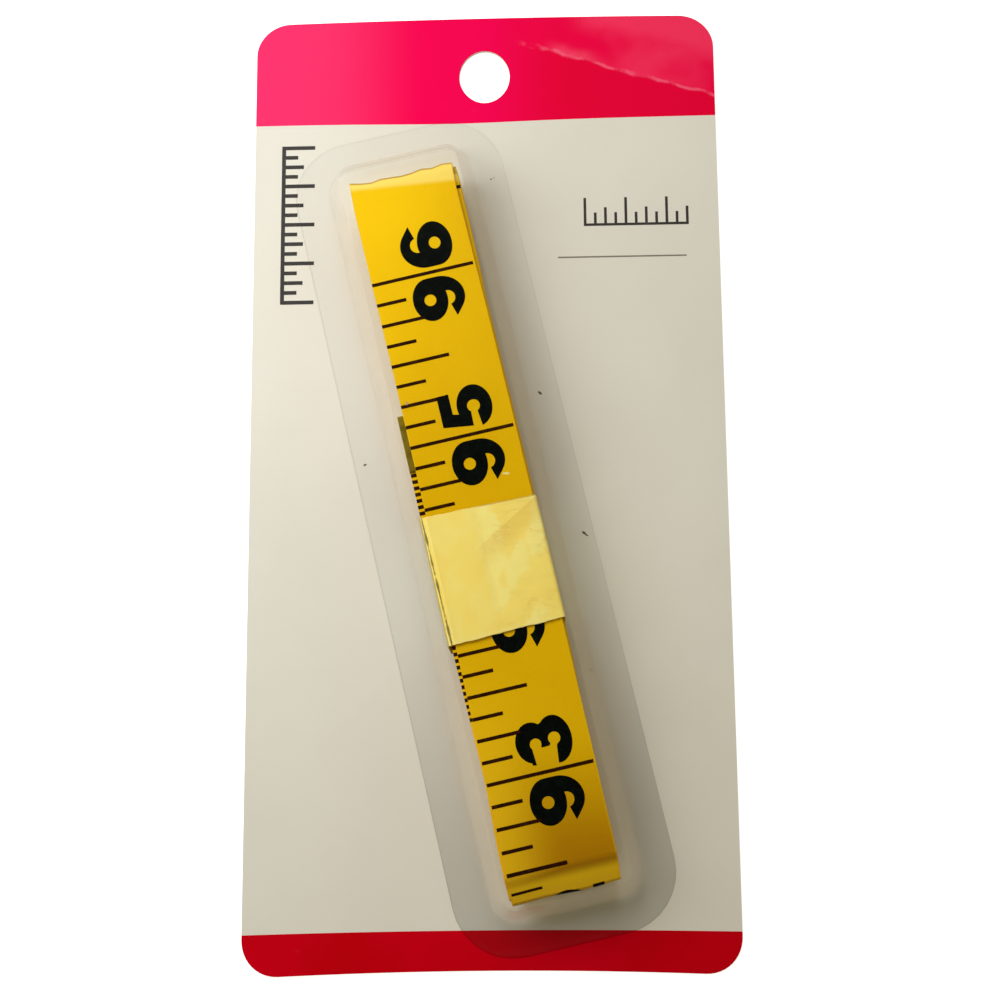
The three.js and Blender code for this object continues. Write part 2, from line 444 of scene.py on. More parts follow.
# Share of the width at each column; the outer columns are narrow, which keeps the edges crisp
def columnShares(columns):
    edge = strip["edgeShare"]
    inner = columns - 2
    return [0, edge, *(step / inner for step in range(1, inner)), 1 - edge, 1]


# A thin sheet swept along a path, as a grid: each vertex comes with the path's item for its row, its
# share of the width and its share of the way
def makeSheet(path, columns):
    bm = bmesh.new()
    rows = len(path) - 1
    bmesh.ops.create_grid(bm, x_segments=rows, y_segments=columns, size=1)
    shares = columnShares(columns)
    places = {}
    for vert in bm.verts:
        row = round((vert.co.x + 1) / 2 * rows)
        places[vert] = (path[row], shares[round((vert.co.y + 1) / 2 * columns)], row / rows)
    return bm, places


def makeTapeCloth():
    finish = Finish("tapeCloth", Roughness=0.42, Specular_IOR_Level=0.04)
    cloth = finish.coordinates["UV"]
    worn = finish.patches(70, 5, 0.3, 0.7)
    # The yellow is painted from a deep shaded tone low down to a bright lit one at the top and upper left, as
    # painted light falloff
    litYellow = finish.mix(worn, (0.92, 0.575, 0.0006), (0.96, 0.62, 0.001))
    shadedYellow = finish.mix(worn, (0.41, 0.18, 0.0005), (0.45, 0.21, 0.001))
    upward = finish.parts(finish.place())[1]
    u, v, z = finish.onHank()
    paintedUpperLeftLight = finish.ramp(finish.minus(upward, finish.times(u, 1.5)), 0, 50, 0, 0.3)
    paintedLightFalloff = finish.plus(finish.ramp(upward, -60, -38, 0, 0.7), paintedUpperLeftLight)
    finish.paint(finish.mix(paintedLightFalloff, shadedYellow, litYellow))
    # The left border and the bend at the lower end are painted paler, as painted light
    litLeftBorder = finish.times(finish.ramp(u, -8, 1, 1, 0), finish.ramp(v, -44, -12, 1, 0))
    paintedPaleLight = finish.most(finish.times(litLeftBorder, 0.62), finish.ramp(v, -53.1, -51.4, 1, 0))
    finish.tint(paintedPaleLight, 1, (0.98, 0.64, 0.012))
    # The top fold is painted pale, as a painted highlight where its bend catches the light
    pale = finish.ramp(finish.plus(v, finish.times(u, 0.13)), 52.5, 53.4)
    finish.tint(pale, 0.9, (1.0, 0.78, 0.17))
    # Both bends are darker along their outer corner
    high = finish.times(finish.ramp(z, 8.3, 8.6), finish.ramp(z, 9.2, 9.35, 1, 0), finish.ramp(v, 52.9, 53.3))
    low = finish.times(finish.ramp(z, 4.4, 4.8), finish.ramp(z, 6, 6.4, 1, 0),
                       finish.ramp(v, -54.2, -53.8, 1, 0))
    darkerCorners = finish.times(finish.most(high, low), finish.scaled(worn, 0.3, 0.5))
    finish.tint(darkerCorners, 1, (0.32, 0.17, 0.02))
    # Both edges of the strip are painted a little darker, as painted shade between the leaves
    half = strip["width"] / 2
    fromMiddle = finish.calc("ABSOLUTE", finish.minus(finish.parts(cloth)[1], half))
    finish.tint(finish.spread(fromMiddle, half - 0.3, half), 0.55, (0.85, 0.5, 0.015))
    finish.tint(finish.flecks(0.45, 0.07, 0.05, cloth), 0.5, (0.35, 0.2, 0.02))
    finish.roughen(worn, 0.36, 0.46)
    finish.bump(finish.effect(weave, cloth, Pitch=0.62), 0.012, 0.4)
    return finish.material


def makeTape():
    full = routeLengths(stripRoute(strip["topFold"]))[-1]
    startFold = strip["topFold"] - (full - strip["fullLength"]) / 2
    route = stripRoute(startFold)
    travelled = routeLengths(route)
    bm, places = makeSheet(list(zip(route, travelled)), strip["acrossSteps"])
    threads = bm.loops.layers.uv.new("threads")
    for face in bm.faces:
        for loop in face.loops:
            (_, length), share, _ = places[loop.vert]
            loop[threads].uv = (length, strip["width"] * share)
    for vert, ((point, _), share, _) in places.items():
        u = point["shift"] + strip["width"] * (share - 0.5)
        v = point["v"] + foldWave(u, point["atTop"]) * point["out"]
        ripple = topRipple(u, v) if point["level"] == strip["leaves"] else 0
        vert.co = onHank(u, v, point["z"] + ripple)
    tape = makePiece("tapeStrip", bm, [makeTapeCloth()], "tape")
    thicken(tape, "clothThickness", strip["thickness"])
    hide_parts("tape_strip")
    print(f"scene: strip of {travelled[-1]:.0f} mm laid in {strip['leaves']} levels, {len(route) - 1} rows")
    return tape


tapeStrip = makeTape()

# Print on the top leaf. Each line's place is counted down the leaf from the highest whole inch.
tapePrint = {
    "highestInch": 96,
    "highestAt": 38.45,
    "inch": 25.4,
    "lineWidth": 0.52,
    "lineStart": 0.02,
    "lineLengths": {8: 15.55, 4: 8.75, 2: 6.6, 1: 4.5},
    "creep": ((-0.38, 29, 39), (-0.08, 5, 25), (0.33, -26, -6), (-0.22, -49, -41)),
    "eighths": 31,
    "numbers": 5,
    "glyphTop": 5.4,
    "glyphHeight": 7.5,
    "glyphWidth": 6.3,
    "glyphTall": 1.05,
    "glyphFit": {"9": (1.065, 0), "6": (1.115, 0), "5": (1.035, 0.17), "2": (1.065, 0.4)},
    "besideLine": 0.85,
    "deepest": -62,
    "lift": 0.03,
    "cut": 0.4,
}


topLeafFold = foldSection((strip["leaves"] - 2) / 2 * levelPitch, False)


# The place so far round the bottom fold from the top leaf's end, raised off the cloth by the lift
def roundFold(past, lift):
    for start, end in zip(topLeafFold, topLeafFold[1:]):
        reach = (end - start).length
        if past <= reach or end is topLeafFold[-1]:
            ahead = (end - start) / reach
            return start + ahead * past + Vector((-ahead.y, ahead.x)) * lift
        past -= reach


# A point on the print's own sheet, laid on the top leaf and round the bottom fold
def onTopLeaf(w, v):
    leaf = strip["leaves"]
    foldAt = strip["bottomFold"]
    lift = strip["thickness"] / 2 + tapePrint["lift"]
    if v >= foldAt:
        u = leafShift(leaf, v) - strip["width"] / 2 + w
        return onHank(u, v, levelHeight(leaf) + tipRise(leaf, v) + topRipple(u, v) + lift)
    place = roundFold(foldAt - v, lift)
    u = leafShift(leaf, foldAt) - strip["width"] / 2 + w
    height = (levelHeight(leaf) + levelHeight(2)) / 2 + place.y
    return onHank(u, foldAt - place.x - foldWave(u, False) * place.x / largestFold, height)


# Points round part of an ellipse, in degrees
def arc(x, y, radiusX, radiusY, start, end, count=16):
    turns = [math.radians(start + (end - start) * step / count) for step in range(count + 1)]
    return [(x + radiusX * math.cos(turn), y + radiusY * math.sin(turn)) for turn in turns]


nineOutline = [
    [(0.08, 1.75)] + arc(3.2, 3.45, 3.1, 3.45, 234, 360) + arc(3.15, 5, 3.15, 2.5, 0, 286, 30)
    + arc(2.95, 2.5, 1.05, 1.05, 5, -168),
    arc(3.08, 5.03, 0.85, 0.85, 0, 350, 35),
]
turnedX, turnedY = tapePrint["glyphWidth"], tapePrint["glyphHeight"]
glyphOutlines = {
    "9": nineOutline,
    "6": [[(turnedX - x, turnedY - y) for x, y in loop] for loop in nineOutline],
    "5": [
        [(0.79, 7.47), (0.18, 3.23), (2.12, 3.17)] + arc(3.07, 2.63, 0.92, 0.92, 146, -154, 24)
        + [(0.0, 2.0)] + arc(3.05, 2.5, 3.15, 2.5, 192, 465, 30) + [(2.42, 5.76), (5.5, 5.78), (5.45, 7.47)],
    ],
    "3": [
        [(0.4, 5.95)] + arc(3.35, 5.35, 2.75, 2.3, 165, -35) + arc(3.2, 2.25, 3.25, 2.35, 38, -175, 24)
        + [(0.0, 2.4), (2.3, 2.15)] + arc(3.35, 2.3, 0.85, 0.85, 200, 490, 20)
        + [(2.5, 3.1), (2.45, 4.15)] + arc(3.05, 4.95, 0.8, 0.8, 235, 490, 18) + [(0.3, 5.4)],
    ],
    "4": [
        [(3.3, 7.5), (0.1, 2.8), (0.1, 1.35), (3.4, 1.35), (3.4, 0), (5.4, 0), (5.4, 1.35), (6.3, 1.35),
         (6.3, 2.9), (5.4, 2.9), (5.4, 7.5)],
        [(3.4, 2.9), (1.85, 2.9), (3.4, 5.2)],
    ],
    "2": [
        [(0, 0), (6.2, 0), (6.2, 1.6), (3.1, 1.6), (5.8, 3.7)] + arc(3.1, 5.15, 3.1, 2.35, -22, 172)
        + [(2.15, 5.05)] + arc(3.05, 5.2, 0.9, 0.85, 180, -40) + [(0, 1.7)],
    ],
}


# A flat figure from closed outlines, filled with its holes left open, as a mesh
def flatFigure(loops):
    curve = bpy.data.curves.new("figure", "CURVE")
    curve.dimensions = "2D"
    curve.fill_mode = "BOTH"
    for loop in loops:
        line = curve.splines.new("POLY")
        line.points.add(len(loop) - 1)
        line.use_cyclic_u = True
        for point, (x, y) in zip(line.points, loop):
            point.co = (x, y, 0, 1)
    holder = bpy.data.objects.new("figure", curve)
    mesh = bpy.data.meshes.new_from_object(holder)
    bpy.data.objects.remove(holder)
    bpy.data.curves.remove(curve)
    return mesh


def cutAcross(bm, point, normal, dist=1e-6):
    bmesh.ops.bisect_plane(bm, geom=bm.verts[:] + bm.edges[:] + bm.faces[:], dist=dist,
                           plane_co=point, plane_no=normal)


# Cuts a flat mesh into strips so that it can follow a curved surface
def cutEvery(bm, step, axis):
    reach = [vert.co[axis] for vert in bm.verts]
    normal = Vector((0, 0, 0))
    normal[axis] = 1
    place = math.floor(min(reach) / step) + 1
    while place * step < max(reach):
        cutAcross(bm, normal * place * step, normal)
        place += 1


def addBlock(bm, lowX, highX, lowY, highY):
    made = bmesh.ops.create_grid(bm, x_segments=1, y_segments=1, size=0.5)["verts"]
    bmesh.ops.scale(bm, vec=(highX - lowX, highY - lowY, 1), verts=made)
    bmesh.ops.translate(bm, vec=((highX + lowX) / 2, (highY + lowY) / 2, 0), verts=made)


# Two colours in uneven patches: an ink that is worn thin in places
def makeInk(name, colour, faded, wear=(900, 6, 0.45, 0.75), strength=0.6, roughness=0.42, specular=0.02):
    finish = Finish(name, Roughness=roughness, Specular_IOR_Level=specular)
    finish.paint(finish.mix(finish.times(finish.patches(*wear), strength), colour, faded))
    return finish.material


# Lays a flat mesh, x across the strip and y along it, on the top leaf as a print
def layPrint(name, bm, ink):
    cutEvery(bm, tapePrint["cut"], 1)
    cutEvery(bm, 2 * tapePrint["cut"], 0)
    for vert in bm.verts:
        vert.co = onTopLeaf(vert.co.x, vert.co.y)
    return makePiece(name, bm, [ink], "tape", smooth=False)


# Place of the line so many inches below the highest; the leaf has crept a little here and there
def linePlace(inches):
    v = tapePrint["highestAt"] - inches * tapePrint["inch"]
    return v + sum(amount * (1 - smoothRise(v, start, end)) for amount, start, end in tapePrint["creep"])


def makeLines():
    bm = bmesh.new()
    start = tapePrint["lineStart"]
    for eighth in range(tapePrint["eighths"]):
        size = next(part for part in (8, 4, 2, 1) if eighth % part == 0)
        length = tapePrint["lineLengths"][size]
        middle = linePlace(eighth / 8)
        half = tapePrint["lineWidth"] / 2
        addBlock(bm, start, start + length, middle - half, middle + half)
    return layPrint("inchLines", bm, makeInk("lineInk", (0.022, 0.005, 0.001), (0.06, 0.02, 0.002)))


def makeNumerals():
    bm = bmesh.new()
    top = tapePrint["glyphTop"]
    tall = tapePrint["glyphTall"]
    height = tapePrint["glyphHeight"] * tall
    fits = tapePrint["glyphFit"]
    for step in range(tapePrint["numbers"]):
        number = tapePrint["highestInch"] - step
        line = linePlace(step)
        for digit, above in zip(str(number), (False, True)):
            stretch, nudge = fits.get(digit, fits["9"])
            width = tapePrint["glyphWidth"] * stretch
            place = line + nudge + (tapePrint["besideLine"] if above else -tapePrint["besideLine"] - width)
            if place + width < tapePrint["deepest"]:
                continue
            mesh = flatFigure(glyphOutlines[digit])
            before = len(bm.verts)
            bm.from_mesh(mesh)
            bpy.data.meshes.remove(mesh)
            bm.verts.ensure_lookup_table()
            for vert in bm.verts[before:]:
                vert.co = (top + height - tall * vert.co.y, place + stretch * vert.co.x, 0)
    return layPrint("inchNumerals", bm, makeInk("numeralInk", (0.001, 0.0022, 0.0018), (0.004, 0.008, 0.006)))


# A pale fleck on the cloth beside the last inch above the band
tapeFleck = {"place": (12.85, 5.7), "size": (1.2, 0.42), "leanDegrees": -12}


# Adds a round patch, turned and sized, and gives back its vertices
def addPatch(bm, x, y, z, degrees, size, segments):
    place = Matrix.Translation((x, y, z)) @ Matrix.Rotation(math.radians(degrees), 4, "Z")
    return bmesh.ops.create_circle(bm, cap_ends=True, segments=segments, radius=0.5,
                                   matrix=place @ Matrix.Diagonal((*size, 1, 1)))["verts"]


def makeFleck():
    bm = bmesh.new()
    for vert in addPatch(bm, *tapeFleck["place"], 0, tapeFleck["leanDegrees"], tapeFleck["size"], 12):
        vert.co.y += 0.12 * noise.noise(vert.co * 3.1)
    return layPrint("paleFleck", bm, makeInk("fleckPaint", (0.9, 0.74, 0.2), (0.95, 0.82, 0.35)))


inchLines = makeLines()
inchNumerals = makeNumerals()
paleFleck = makeFleck()
print("scene: tape printed")


# Fine metric lines on the leaf under the top one, whose left edge looks out past it
metricPrint = {"pitch": 0.97, "lineWidth": 0.56, "length": 3.2, "highest": 8.6, "count": 39, "strayAt": 50.95}


def makeMetricLines():
    bm = bmesh.new()
    half = metricPrint["lineWidth"] / 2
    for step in range(metricPrint["count"]):
        middle = metricPrint["highest"] - step * metricPrint["pitch"]
        addBlock(bm, 0, metricPrint["length"], middle - half, middle + half)
    stray = metricPrint["strayAt"]
    addBlock(bm, strip["width"] - 1, strip["width"], stray - half, stray + half)
    for vert in bm.verts:
        w, v = vert.co.x, vert.co.y
        leaf = strip["leaves"] - (2 if v > strip["innerEnd"] else 1)
        height = levelHeight(leaf) + tipRise(leaf, v) + strip["thickness"] / 2 + tapePrint["lift"] / 2
        vert.co = onHank(leafShift(leaf, v) - strip["width"] / 2 + w, v, height)
    ink = makeInk("metricInk", (0.02, 0.005, 0.001), (0.1, 0.04, 0.002))
    return makePiece("metricLines", bm, [ink], "tape", smooth=False)


metricLines = makeMetricLines()


brassTip = {"length": 8.8, "sheet": 0.08, "slack": 0.012, "crimpDepth": 0.03, "step": 0.4}


def makeBrass():
    finish = Finish("tipBrass", Metallic=1.0)
    dull = finish.patches(500, 6, 0.35, 0.7)
    # The brass is painted a dark olive, as painted shade on the tips among the leaves
    finish.paint(finish.mix(dull, (0.2, 0.14, 0.012), (0.11, 0.08, 0.006)))
    finish.roughen(dull, 0.38, 0.52)
    finish.bump(finish.patches(900, 3, stretch=(1, 12, 1)), 0.01, 0.4)
    return finish.material


tipBrass = makeBrass()


# A crimped tip is one sheet folded over the strip's end; opening says which way the strip leaves it
def makeTip(name, node, level, end, opening):
    reach = strip["thickness"] / 2 + brassTip["slack"] + brassTip["sheet"] / 2
    middle = levelHeight(level) + tipRise(level, end + opening * brassTip["length"] / 2)
    mouth = end + opening * brassTip["length"]
    corner = reach * 0.8
    path = roundedPath([(mouth, -reach, 0), (end, -reach, corner), (end, reach, corner), (mouth, reach, 0)],
                       brassTip["step"])
    bm, places = makeSheet(path, strip["acrossSteps"])
    width = strip["width"] + 0.1
    for vert, (point, share, _) in places.items():
        depth = abs(point.x - end) / brassTip["length"]
        crimp = brassTip["crimpDepth"] * max(0, math.sin(depth * math.pi * 6)) ** 4
        height = point.y - math.copysign(crimp, point.y) * (abs(point.y) > reach * 0.9)
        vert.co = onHank(leafShift(level, point.x) + width * (share - 0.5), point.x, middle + height)
    bmesh.ops.recalc_face_normals(bm, faces=bm.faces)
    piece = makePiece(name, bm, [tipBrass], "tape")
    thicken(piece, "brassThickness", brassTip["sheet"])
    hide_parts(node)
    return piece


innerTip = makeTip("innerEndTip", "inner_end_tip", strip["leaves"] - 1, strip["innerEnd"] + 0.2, -1)
outerTip = makeTip("outerEndTip", "outer_end_tip", 1, strip["outerEnd"] - 0.2, 1)
print("scene: brass tips crimped")

# The band runs from its free edge on top at the left, right round the hank, and ends under itself
paperBand = {
    "top": 1.8,
    "bottom": -17.1,
    "sheet": 0.09,
    "freeEdge": -7.9,
    "left": -8.76,
    "right": 8.68,
    "overlapEnd": -1.2,
    "lapHeight": 9.88,
    "topHeight": 9.99,
    "underside": 1.16,
    "corner": 0.45,
    "step": 0.3,
    "rows": 66,
}


def makeBandPaper():
    finish = Finish("bandPaper", Specular_IOR_Level=0.25, Coat_Weight=0.12, Coat_Roughness=0.2)
    u, v, z = finish.onHank()
    stain = finish.patches(190, 6, 0.42, 0.66)
    single = finish.ramp(u, -2.5, 1.5)  # past the lap the paper lies single
    finish.paint(finish.mix(finish.times(stain, 0.4), (1.0, 0.82, 0.2), (0.98, 0.74, 0.15)))
    pale = finish.patches(170, 8, 0.47, 0.57, (1.4, 0.9, 1))
    finish.tint(pale, finish.scaled(single, 0.6, 0.3), (1.0, 0.9, 0.3))
    # A shallow crease, running down to the left from the upper right corner, is painted as a darker band of
    # painted shade
    below = finish.minus(finish.scaled(u, 0.568, -3.39 * mm), v)
    paintedCreaseShade = finish.times(finish.ramp(below, 0, 0.25), finish.ramp(below, 1.4, 4.4, 1, 0), single)
    finish.tint(paintedCreaseShade, 0.5, (0.83, 0.58, 0.11))
    cloud = finish.cloud(finish.place((0.6, 1.5, 1)), 420, 5)
    apart = finish.calc("ABSOLUTE", finish.minus(cloud, 0.5))
    kept = finish.patches(260, 3, 0.46, 0.6)
    # Fine wrinkle lines are painted darker, as painted shade in their creases
    lines = finish.times(finish.spread(apart, 0.0, 0.05, 1, 0), single, kept)
    finish.tint(lines, 0.3, (0.8, 0.56, 0.1))
    finish.tint(finish.ramp(v, -16.9, -16.2, 1, 0), 0.5, (1.0, 0.88, 0.3))
    finish.tint(finish.flecks(420, 0.13, 0.05), finish.scaled(single, 0.5, 0.3), (0.2, 0.14, 0.03))
    # The left fold is painted dark, as painted shade of the lap, and the upper edge to the right is painted
    # dark, as painted shadow under its edge
    finish.tint(finish.ramp(u, -8.62, -8.5, 1, 0), 0.8, (0.42, 0.33, 0.09))
    upper = finish.ramp(finish.scaled(u, 0.025, v), 1.6, 1.74)
    finish.tint(finish.times(upper, finish.ramp(u, -1.5, 1)), 0.6, (0.4, 0.2, 0.01))
    # Along the free edge a ragged dark line is painted on the lap, as painted shade in the gap under the edge
    besideFreeEdge = finish.calc("ABSOLUTE", finish.plus(finish.scaled(v, 0.0125, 8.38 * mm), u))
    besideFreeEdge = finish.plus(besideFreeEdge, finish.times(finish.minus(cloud, 0.5), 0.5 * mm))
    broken = finish.patches(330, 3, 0.36, 0.48, (1, 1, 0))
    paintedGapShade = finish.times(finish.ramp(besideFreeEdge, 0.07, 0.17, 1, 0), finish.ramp(z, 9, 9.4),
                           finish.scaled(broken, 0.8, 0.2))
    finish.tint(paintedGapShade, 0.85, (0.12, 0.09, 0.012))
    finish.roughen(stain, 0.28, 0.42)
    creases = finish.patches(260, 5, 0.3, 0.7, (0.7, 1.6, 1))
    relief = finish.minus(creases, finish.times(lines, 0.4))
    finish.bump(finish.times(relief, finish.scaled(single, 0.8, 0.2)), 0.13, 0.5)
    return finish.material


def makeBand():
    band = paperBand
    corner = band["corner"]
    topFlat = band["topHeight"]
    lapFlat = band["lapHeight"]
    path = roundedPath([
        (band["freeEdge"], topFlat, 0),
        (band["overlapEnd"], topFlat, 0.3),
        (band["overlapEnd"] + 0.9, lapFlat, 0.3),
        (band["right"], lapFlat, corner),
        (band["right"], band["underside"], corner),
        (band["left"], band["underside"], corner),
        (band["left"], lapFlat, corner),
        (band["overlapEnd"] - 0.1, lapFlat, 0),
    ], band["step"])
    bm, places = makeSheet(path, band["rows"])
    for vert, (point, share, way) in places.items():
        u, z = point
        ragged = noise.noise((u * 0.9, z * 0.9, 4.5)) * 0.12
        lowEdge = band["bottom"] + 0.02 * u + ragged
        highEdge = band["top"] - 0.025 * u + 0.8 * ragged
        v = lowEdge + (highEdge - lowEdge) * share
        if z > lapFlat - 0.1:
            single = smoothRise(u, -1.5, 1.5) * (1 - smoothRise(u, 6.8, 8.2))
            wrinkle = 0.5 + 0.5 * noise.noise((u / 2.6, v / 4.2, 1.1))
            wrinkle += 0.35 * noise.noise((u / 1.1, v / 1.6, 7.7))
            z += 0.11 * single * max(0, wrinkle)
        free = 1 - smoothRise(way, 0, 0.012)
        z += 0.05 * free * (1 + noise.noise((v / 2.3, 0.4, 0.2)))
        if way < 0.001:
            u += 0.13 * noise.noise((v / 1.3, 9.1, 0))
        vert.co = onHank(u, v, z)
    piece = makePiece("bandOfPaper", bm, [makeBandPaper()], "band")
    thicken(piece, "paperThickness", band["sheet"])
    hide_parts("paper_band")
    return piece


bandOfPaper = makeBand()
print("scene: paper band wrapped")

# The card: pale printed board with a magenta band at its head and foot, and a crease by the hole
cardForm = {
    "cornerRadius": 5.4,
    "cornerSteps": 12,
    "holeRadius": (3.98, 4.33),
    "holeUp": 64.25,
    "holeSteps": 72,
    "headerEdge": 56.85,
    "footerEdge": -68.0,
    "cut": 4.2,
    "creaseStart": (4.9, 70.1),
    "creaseEnd": (36.3, 60.4),
    "creaseLift": 0.012,
}


# Distance of a point past the crease, towards the card's corner
def pastCrease(x, y):
    start = Vector(cardForm["creaseStart"])
    line = (Vector(cardForm["creaseEnd"]) - start).normalized()
    return Vector((-line.y, line.x)).dot(Vector((x, y)) - start)


# The board's edges and its header line aren't quite straight
def edgeBow(x, y):
    top = (0.2 - 0.28 * (x / 30) ** 2) * smoothRise(y, 67, 74)
    bottom = (0.62 - 0.75 * (x / 33) ** 2) * smoothRise(-y, 62, 74)
    header = 0.0045 * x - 0.38 * math.exp(-((x + 5) / 14) ** 2)
    return top + bottom + header * math.exp(-((y - cardForm["headerEdge"]) / 2.5) ** 2)


# The material's own count of the same distance, with the ragged course of a torn coating
def creaseDistance(finish):
    place = finish.place()
    start = Vector(cardForm["creaseStart"]) * mm
    line = (Vector(cardForm["creaseEnd"]) * mm - start).normalized()
    x, y, _ = finish.parts(place)
    distance = finish.plus(finish.times(finish.minus(x, start.x), -line.y),
                           finish.times(finish.minus(y, start.y), line.x))
    ragged = finish.times(finish.minus(finish.cloud(place, 170, 6), 0.5), 3 * mm)
    return finish.plus(distance, ragged), x, y


def makeGroundPrint():
    finish = Finish("cardGround", Roughness=0.42, Specular_IOR_Level=0.25)
    finish.paint(finish.mix(finish.patches(45, 5, 0.3, 0.7), (0.745, 0.735, 0.69), (0.775, 0.768, 0.725)))
    finish.tint(finish.flecks(260, 0.1, 0.012), 0.6, (0.3, 0.26, 0.2))
    finish.bump(finish.patches(900, 4, 0.3, 0.7), 0.012, 0.35)
    return finish.material


def makeMagentaPrint():
    finish = Finish("cardMagenta", Roughness=0.4, Specular_IOR_Level=0.01)
    distance, x, y = creaseDistance(finish)
    cloudy = finish.patches(60, 4, 0.3, 0.7)
    # The header is painted pinker at the left, as painted sheen, and deeper red to the right, as painted
    # shade
    header = finish.mix(finish.ramp(x, -27, -9, 1, 0), (0.93, 0.001, 0.095), (0.92, 0.034, 0.165))
    header = finish.mix(finish.ramp(x, -2, 14), header, (0.82, 0.0008, 0.042))
    header = finish.mix(finish.times(cloudy, 0.08), header, (0.99, 0.004, 0.13))
    footer = finish.mix(cloudy, (0.56, 0.0005, 0.006), (0.64, 0.0005, 0.012))
    finish.paint(finish.mix(finish.calc("GREATER_THAN", y, 0.0), footer, header))
    # Past the crease the print is painted paler, as painted light on the lifted corner, with a painted gleam
    # towards the card's corner
    within = finish.ramp(x, 4, 9)
    past = finish.times(finish.ramp(distance, -0.1, 0.2), within)
    haze = finish.patches(55, 3, 0.42, 0.62)
    paintedGleam = finish.most(finish.times(haze, 0.65), finish.ramp(distance, 3.5, 8, 0.0, 0.85))
    finish.tint(finish.times(paintedGleam, past, finish.ramp(x, 12, 18)), 1, (1.0, 0.08, 0.19))
    finish.tint(past, 0.5, (0.93, 0.002, 0.085))
    # The rubbed place beside the crease's upper part, and the cracked coating along it
    rub = finish.times(finish.ramp(distance, 0.1, 2.4, 1, 0), past, finish.ramp(x, 9, 13),
                       finish.ramp(x, 14, 21, 1, 0))
    finish.tint(rub, 0.55, (0.97, 0.1, 0.21))
    near = finish.ramp(finish.calc("ABSOLUTE", finish.minus(distance, 0.15 * mm)), 0.05, 0.42, 1, 0)
    torn = finish.patches(420, 5, 0.36, 0.58)
    crack = finish.times(near, torn, within)
    scuff = finish.patches(240, 7, 0.68, 0.8, (1, 3, 1))
    mark = finish.most(crack, finish.times(scuff, 0.12))
    finish.tint(mark, 0.8, (0.97, 0.12, 0.24))
    finish.roughen(mark, 0.36, 0.6)
    finish.bump(finish.minus(past, crack), 0.05, 0.4)
    return finish.material


def makeRawBoard():
    finish = Finish("cardRawBoard", Roughness=0.75, Specular_IOR_Level=0.25)
    fibre = finish.patches(260, 6, 0.3, 0.7, (1, 4, 1))
    finish.paint(finish.mix(fibre, (0.70, 0.675, 0.61), (0.78, 0.755, 0.69)))
    finish.tint(finish.flecks(380, 0.12, 0.06), 0.5, (0.4, 0.36, 0.29))
    finish.bump(fibre, 0.02, 0.4)
    return finish.material


def makeCard():
    form = cardForm
    width = cardHigh.x - cardLow.x
    height = cardHigh.y - cardLow.y
    bm = bmesh.new()
    addBlock(bm, -width / 2, width / 2, -height / 2, height / 2)
    bmesh.ops.bevel(bm, geom=bm.verts[:], offset=form["cornerRadius"], offset_type="OFFSET",
                    segments=form["cornerSteps"], profile=0.5, affect="VERTICES", material=-1)
    bmesh.ops.delete(bm, geom=bm.faces[:], context="FACES_ONLY")
    hole = Matrix.Translation((0, form["holeUp"], 0)) @ Matrix.Diagonal((*form["holeRadius"], 1, 1))
    bmesh.ops.create_circle(bm, cap_ends=False, segments=form["holeSteps"], radius=1, matrix=hole)
    bmesh.ops.triangle_fill(bm, use_beauty=True, edges=bm.edges[:], normal=(0, 0, 1))
    cutEvery(bm, form["cut"], 0)
    cutEvery(bm, form["cut"], 1)
    start = Vector((*form["creaseStart"], 0))
    line = (Vector((*form["creaseEnd"], 0)) - start).normalized()
    cutAcross(bm, start, Vector((-line.y, line.x, 0)), 1e-5)
    for edge in (form["headerEdge"], form["footerEdge"]):
        cutAcross(bm, Vector((0, edge, 0)), Vector((0, 1, 0)), 1e-5)
    made = bmesh.ops.extrude_face_region(bm, geom=bm.faces[:])["geom"]
    raised = [item for item in made if isinstance(item, bmesh.types.BMVert)]
    bmesh.ops.translate(bm, vec=(0, 0, cardHigh.z - cardLow.z), verts=raised)
    bmesh.ops.recalc_face_normals(bm, faces=bm.faces[:])
    for face in bm.faces:
        middle = face.calc_center_median()
        banded = middle.y > form["headerEdge"] or middle.y < form["footerEdge"]
        face.material_index = (1 if banded else 0) if face.normal.z > 0.5 else 2
    for vert in bm.verts:
        vert.co.z += cardLow.z + form["creaseLift"] * max(0, pastCrease(vert.co.x, vert.co.y))
        vert.co.y += edgeBow(vert.co.x, vert.co.y)
        vert.co *= mm
    materials = [makeGroundPrint(), makeMagentaPrint(), makeRawBoard()]
    card = makePiece("printedCard", bm, materials, "card", smooth=False)
    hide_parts("hang_card")
    return card


printedCard = makeCard()

# Plain measuring scales and a thin rule stand where a pack of this kind has its print
cardPrint = {
    "lift": 0.012,
    "uprightScale": {"base": -31.4, "length": 4.6, "from": 27.5, "to": 53.5, "pitch": 1.5875, "line": 0.62},
    "levelScale": {"base": 39.5, "length": 4.2, "from": 15.5, "to": 31.2, "pitch": 1.5875, "line": 0.42},
    "rule": (11.2, 31.1, 33.92, 34.16),  # left, right, low, high
    "shares": (1, 0.42, 0.62, 0.42),
    "wear": (700, 6, 0.5, 0.8),
}


# One scale: its base line and its ticks, standing up from it or, upright, out to its right
def addScale(bm, scale, upright):
    count = round((scale["to"] - scale["from"]) / scale["pitch"])
    half = scale["line"] / 2
    base = scale["base"]
    end = scale["from"] + count * scale["pitch"]
    blocks = [(scale["from"] - half, end + half, base - scale["line"], base)]
    for step in range(count + 1):
        middle = scale["from"] + step * scale["pitch"]
        reach = scale["length"] * cardPrint["shares"][step % 4]
        blocks.append((middle - half, middle + half, base, base + reach))
    for low, high, foot, head in blocks:
        addBlock(bm, *((foot, head, low, high) if upright else (low, high, foot, head)))


